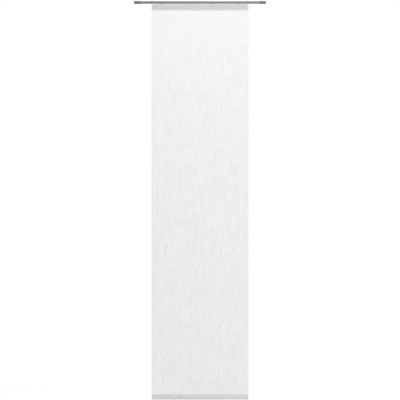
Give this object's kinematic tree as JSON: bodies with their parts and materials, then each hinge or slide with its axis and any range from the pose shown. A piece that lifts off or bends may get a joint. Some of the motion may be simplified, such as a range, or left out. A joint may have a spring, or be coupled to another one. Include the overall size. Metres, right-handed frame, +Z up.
{
  "type": "sliding panel curtain with ceiling rail",
  "caption": "Flat translucent panel curtain that slides in a slim ceiling rail, with a carrier at its top edge and a weight bar in its bottom hem.",
  "frame": {"origin": "in the plane of the ceiling, at the middle of the middle clip's top face", "axes": "+Z up into the ceiling, +X along the rail to the right as seen from the room, -Y towards the room"},
  "size_m": [0.818, 0.0398, 2.47],
  "materials": {
    "rail": "brushed and anodised, warm dark grey",
    "cap": "satin moulded, dark grey",
    "steel": "zinc plated",
    "nylon": "moulded, off-white",
    "carrier": "natural anodised",
    "bar": "bright satin mill finish",
    "tape": "woven hook and loop, mid grey",
    "voile": "translucent crinkled voile, off-white"
  },
  "bodies": {
    "rail": {"rail_profile": "rail", "end_cap_left": "cap", "end_cap_right": "cap", "ceiling_clip_left": "steel", "ceiling_clip_middle": "steel", "ceiling_clip_right": "steel", "end_stop_left": "nylon", "end_stop_right": "nylon", "end_stop_screw_left": "steel", "end_stop_screw_right": "steel"},
    "panel": {"glider_1": "nylon", "glider_2": "nylon", "glider_3": "nylon", "glider_4": "nylon", "carrier_profile": "carrier", "carrier_cap_left": "cap", "carrier_cap_right": "cap", "hook_tape": "tape", "loop_tape": "tape", "panel_voile": "voile", "weight_bar": "bar", "weight_bar_cap_left": "nylon", "weight_bar_cap_right": "nylon"}
  },
  "joints": [
    {"name": "panel_slide", "type": "slide", "parent": "rail", "child": "panel", "axis": [1, 0, 0], "range_m": [-0.104, 0.104]}
  ]
}
